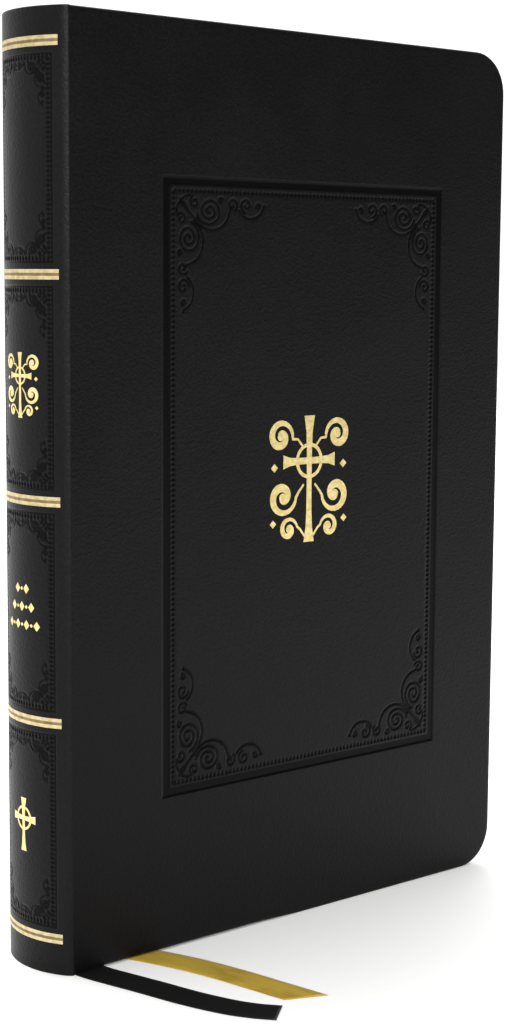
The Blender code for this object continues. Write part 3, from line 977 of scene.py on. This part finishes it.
def foil_finish(name, bright, dull, rough):
    """Hot-stamped gold foil: metallised film that takes the leather's grain.

    It is a pale, soft gold, slightly patchy where the film is thin.
    """
    material, tree, shader = new_material(name)
    place = add_node(tree, "TexCoord").outputs["Object"]
    cells = add_node(tree, "TexVoronoi", {"feature": "SMOOTH_F1"}, Vector=place, Scale=GRAIN_SCALE,
                     Smoothness=0.6)
    patch = add_node(tree, "TexNoise", Vector=place, Scale=700, Detail=3.0)
    colour = ramp(tree, patch.outputs["Fac"], (0.35, dull), (0.6, bright))
    bump = add_node(tree, "Bump", Strength=0.35, Distance=0.0001, Height=cells.outputs["Distance"])
    spread = add_node(tree, "MapRange", Value=patch.outputs["Fac"], in1=0.3, in2=0.7,
                      in3=rough + 0.08, in4=rough - 0.06)
    tree.links.new(colour, shader.inputs["Base Color"])
    tree.links.new(spread.outputs[0], shader.inputs["Roughness"])
    tree.links.new(bump.outputs[0], shader.inputs["Normal"])
    shader.inputs["Metallic"].default_value = 1.0
    return material


def fibre_finish(name, low, high, grain_mm, rough, strength=0.25, stretch=(1, 1, 1)):
    """Paper or board: pressed fibres, faintly cloudy and quite matt."""
    material, tree, shader = new_material(name)
    place = add_node(tree, "TexCoord").outputs["Object"]
    turned = add_node(tree, "Mapping", Vector=place, Scale=stretch).outputs[0]
    fibres = add_node(tree, "TexNoise", Vector=turned, Scale=1 / (grain_mm * MM), Detail=5.0,
                      Roughness=0.65)
    cloud = add_node(tree, "TexNoise", Vector=place, Scale=60, Detail=2.0)
    both = add_node(tree, "Math", {"operation": "MULTIPLY_ADD"}, in0=fibres.outputs["Fac"], in1=0.6,
                    in2=cloud.outputs["Fac"])
    colour = ramp(tree, both.outputs[0], (0.55, low), (1.05, high))
    bump = add_node(tree, "Bump", Strength=strength, Distance=0.0001, Height=fibres.outputs["Fac"])
    tree.links.new(colour, shader.inputs["Base Color"])
    tree.links.new(bump.outputs[0], shader.inputs["Normal"])
    shader.inputs["Roughness"].default_value = rough
    return material


def gilt_edge_finish():
    """Gilt page edges: gold leaf on cut paper, so it shows the fine lines of the leaves."""
    material, tree, shader = new_material("gilt page edge")
    place = add_node(tree, "TexCoord").outputs["Object"]
    # Leaves 0.04 mm thick are drawn about 0.16 mm apart, so that they show
    thin = add_node(tree, "Mapping", Vector=place, Scale=(12, 6000, 12)).outputs[0]
    leaves = add_node(tree, "TexNoise", Vector=thin, Scale=1.0, Detail=2.0)
    patch = add_node(tree, "TexNoise", Vector=place, Scale=240, Detail=3.0)
    both = add_node(tree, "Math", {"operation": "MULTIPLY_ADD"}, in0=patch.outputs["Fac"], in1=0.4,
                    in2=leaves.outputs["Fac"])
    colour = ramp(tree, both.outputs[0], (0.5, "#8f6c2a"), (0.75, "#cfa757"), (0.95, "#e2c27c"))
    bump = add_node(tree, "Bump", Strength=0.5, Distance=0.00008, Height=leaves.outputs["Fac"])
    tree.links.new(colour, shader.inputs["Base Color"])
    tree.links.new(bump.outputs[0], shader.inputs["Normal"])
    shader.inputs["Metallic"].default_value = 0.9
    shader.inputs["Roughness"].default_value = 0.34
    return material


def satin_finish(name, dark, light, rough, sheen):
    """Woven satin ribbon: fine warp threads along it that catch the light, and picks across it."""
    material, tree, shader = new_material(name)
    lie = add_node(tree, "UVMap", {"uv_map": "weave"}).outputs["UV"]
    # Warp threads about 0.25 mm apart and picks 0.4 mm apart, coarser than real so that they show
    drawn = add_node(tree, "Mapping", Vector=lie, Scale=(4000, 150, 1)).outputs[0]
    warp = add_node(tree, "TexNoise", Vector=drawn, Scale=1.0, Detail=1.0)
    weft = add_node(tree, "TexWave", {"bands_direction": "Y"}, Vector=lie,
                    Scale=WAVE_OF_1M / (0.4 * MM), Distortion=0.4)
    long = add_node(tree, "Mapping", Vector=lie, Scale=(120, 60, 1)).outputs[0]
    slow = add_node(tree, "TexNoise", Vector=long, Scale=1.0, Detail=2.0)
    threads = add_node(tree, "Math", {"operation": "MULTIPLY_ADD"}, in0=weft.outputs["Fac"], in1=0.25,
                       in2=warp.outputs["Fac"])
    both = add_node(tree, "Math", {"operation": "MULTIPLY_ADD"}, in0=slow.outputs["Fac"], in1=0.8,
                    in2=threads.outputs[0])
    colour = ramp(tree, both.outputs[0], (0.7, dark), (1.2, light))
    bump = add_node(tree, "Bump", Strength=0.4, Distance=0.00006, Height=threads.outputs[0])
    tree.links.new(colour, shader.inputs["Base Color"])
    tree.links.new(bump.outputs[0], shader.inputs["Normal"])
    shader.inputs["Roughness"].default_value = rough
    shader.inputs["Sheen Weight"].default_value = sheen
    shader.inputs["Sheen Roughness"].default_value = 0.3
    return material


def woven_finish(name, dark, light, pitch_mm, rough):
    """Plain woven cloth or gauze, with threads this far apart up and round the spine."""
    material, tree, shader = new_material(name)
    place = add_node(tree, "TexCoord").outputs["Object"]
    scale = WAVE_OF_1M / (pitch_mm * MM)
    up = add_node(tree, "TexWave", {"bands_direction": "Z"}, Vector=place, Scale=scale)
    round_ = add_node(tree, "TexWave", {"bands_direction": "Y"}, Vector=place, Scale=scale)
    both = add_node(tree, "Math", {"operation": "MAXIMUM"}, in0=up.outputs["Fac"],
                    in1=round_.outputs["Fac"])
    colour = ramp(tree, both.outputs[0], (0.3, dark), (0.9, light))
    bump = add_node(tree, "Bump", Strength=0.6, Distance=0.0001, Height=both.outputs[0])
    tree.links.new(colour, shader.inputs["Base Color"])
    tree.links.new(bump.outputs[0], shader.inputs["Normal"])
    shader.inputs["Roughness"].default_value = rough
    return material


def headband_finish():
    """Headband: mercerised cotton worked round a core, in black and gold stripes 1.6 mm apart."""
    material, tree, shader = new_material("worked cotton headband")
    place = add_node(tree, "TexCoord").outputs["Object"]
    stripe = add_node(tree, "TexWave", {"bands_direction": "Y"}, Vector=place, Scale=196)
    thread = add_node(tree, "TexWave", {"bands_direction": "Y"}, Vector=place, Scale=1100)
    colour = ramp(tree, stripe.outputs["Fac"], (0.42, "#141313"), (0.58, "#b58d3a"))
    bump = add_node(tree, "Bump", Strength=0.7, Distance=0.00012, Height=thread.outputs["Fac"])
    tree.links.new(colour, shader.inputs["Base Color"])
    tree.links.new(bump.outputs[0], shader.inputs["Normal"])
    shader.inputs["Roughness"].default_value = 0.55
    shader.inputs["Sheen Weight"].default_value = 0.3
    return material


# ---- The book put together ----

make_camera()
make_studio()

leather = leather_finish("imitation leather, embossed", "#0a090a", "#0f0d0e", rough=0.43,
                         grain=0.4, specular=0.27)
# Where a hot die pressed: the film is burnished and its grain is nearly gone, and it is painted
# blacker and less shiny as painted shade in the hollows
tooled = leather_finish("imitation leather, blind tooled, painted shade", "#080708", "#0a090a", rough=0.4,
                        grain=0.2, specular=0.12)
foil = foil_finish("hot-stamped gold foil", "#ebd89b", "#d9c684", rough=0.42)
band_foil = foil_finish("brushed gold foil", "#cdbd97", "#b7a77e", rough=0.45)
band_dull = foil_finish("dulled gold foil", "#8a7a52", "#766744", rough=0.5)
# Bible paper is thin and calendered, so it is creamy, even and a little smoother than book paper
bible_paper = fibre_finish("thin bible paper", "#ddd6c4", "#ece7da", grain_mm=0.5, rough=0.75)
gilt = gilt_edge_finish()
endpaper = fibre_finish("black endpaper", "#0d0d0d", "#171616", grain_mm=0.35, rough=0.7,
                        strength=0.35)
# Binder's board is pulped waste, so it is mottled, coarse and quite dull
greyboard = fibre_finish("grey binder's board", "#6e685c", "#8a8376", grain_mm=0.8, rough=0.9,
                         strength=0.5)
card = fibre_finish("manila card", "#a08c66", "#b8a47c", grain_mm=0.6, rough=0.85)
# Kraft paper's long brown fibres lie up and down the spine
kraft = fibre_finish("kraft paper", "#8a6238", "#a67a4a", grain_mm=0.5, rough=0.8, strength=0.3,
                     stretch=(1, 1, 0.3))
gauze = woven_finish("starched gauze", "#a9a291", "#e6e1d3", pitch_mm=1.0, rough=0.9)
thread = woven_finish("waxed linen thread", "#b9b09a", "#e9e4d6", pitch_mm=0.4, rough=0.6)
headband_cloth = headband_finish()
black_satin = satin_finish("black satin ribbon", "#020203", "#09090a", rough=0.42, sheen=0.02)
gold_satin = satin_finish("gold satin ribbon", "#80650f", "#b89b35", rough=0.38, sheen=0.15)


def add_piece(piece, body, slot, *nodes):
    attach(piece, body)
    if nodes:
        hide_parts(*nodes)
    return piece


for word, side in (("front", FRONT), ("back", BACK)):
    cover = make_cover_leather(f"{word}_cover_skin", side, leather, tooled)
    add_piece(cover, f"{word}_cover", "black_leather", f"{word}_cover_leather")

spine_skin = make_spine_leather(leather, tooled)
add_piece(spine_skin, "spine", "black_leather", "spine_leather")
for word, head in (("head", True), ("tail", False)):
    add_piece(make_spine_turn_in(f"spine_turn_in_{word}", leather, head), "spine", "black_leather")

for i in range(BAND_COUNT):
    z = HEIGHT - (BAND_FROM_HEAD + i * BAND_SPACING) * MM
    band = make_band(f"gilt_double_line_{i + 1}", z, band_foil, band_dull)
    add_piece(band, "spine", "gold_foil", f"spine_band_{i + 1}")


def on_cover(u, v, height):
    return RIDGE_X + (DEVICE_U + u) * MM, layer_y(0, FRONT) - height, (DEVICE_Z + v) * MM


def on_spine(z_middle, scale):
    def place(u, v, height):
        angle = math.pi + u * scale * MM / SPINE_RADIUS
        radius = SPINE_RADIUS + height
        return (SPINE_AXIS_X + radius * math.cos(angle), MID_Y + radius * math.sin(angle),
                (z_middle + v * scale) * MM)
    return place


DEVICE_U, DEVICE_Z = 79.6, 122.0  # the middle of the cover's device, in mm
SPINE_STAMPS = (  # strokes, height of the middle in mm, and scale
    (scroll_cross(), 149.6, 0.47), (lozenge_rows(), 94.0, 1.0), (ring_cross(), 37.6, 1.05),
)
SECTION_COUNT, THREAD_COUNT = 14, 5

device = stamp("cover_scroll_cross", scroll_cross(), on_cover, foil)
add_piece(device, "front_cover", "gold_foil", "cover_cross_foil")
for i, (strokes, z, scale) in enumerate(SPINE_STAMPS):
    small = stamp(f"spine_stamp_{i + 1}", strokes, on_spine(z, scale), foil)
    add_piece(small, "spine", "gold_foil", f"spine_foil_{i + 1}")

for number in range(1, SECTION_COUNT + 1):
    section = f"section_{number:02d}"
    leaves = make_leaves(f"leaves_{number:02d}", section, bible_paper, gilt)
for word in ("front", "back"):
    flyleaf = f"{word}_flyleaf"
    leaf = make_leaves(f"{word}_free_endpaper", flyleaf, endpaper, endpaper)

finishes = {
    "front_pastedown": endpaper, "back_pastedown": endpaper, "front_board": greyboard,
    "back_board": greyboard, "front_infill_card": card, "back_infill_card": card,
    "spine_inlay": card, "gauze_mull": gauze, "spine_lining": kraft, "headband": headband_cloth,
    "tailband": headband_cloth,
}
finishes.update({f"sewing_thread_{i + 1}": thread for i in range(THREAD_COUNT)})
for node, material in finishes.items():
    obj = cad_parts[node]
    for slot in obj.material_slots:
        slot.link = "OBJECT"
        slot.material = material

for word, route, cut, material in (
    ("black", BLACK_ROUTE, BLACK_CUT, black_satin), ("gold", GOLD_ROUTE, GOLD_CUT, gold_satin),
):
    ribbon, points = make_ribbon(f"satin_ribbon_{word}", route, cut, material)
    add_piece(ribbon, "spine", f"{word}_satin", f"ribbon_{word}")
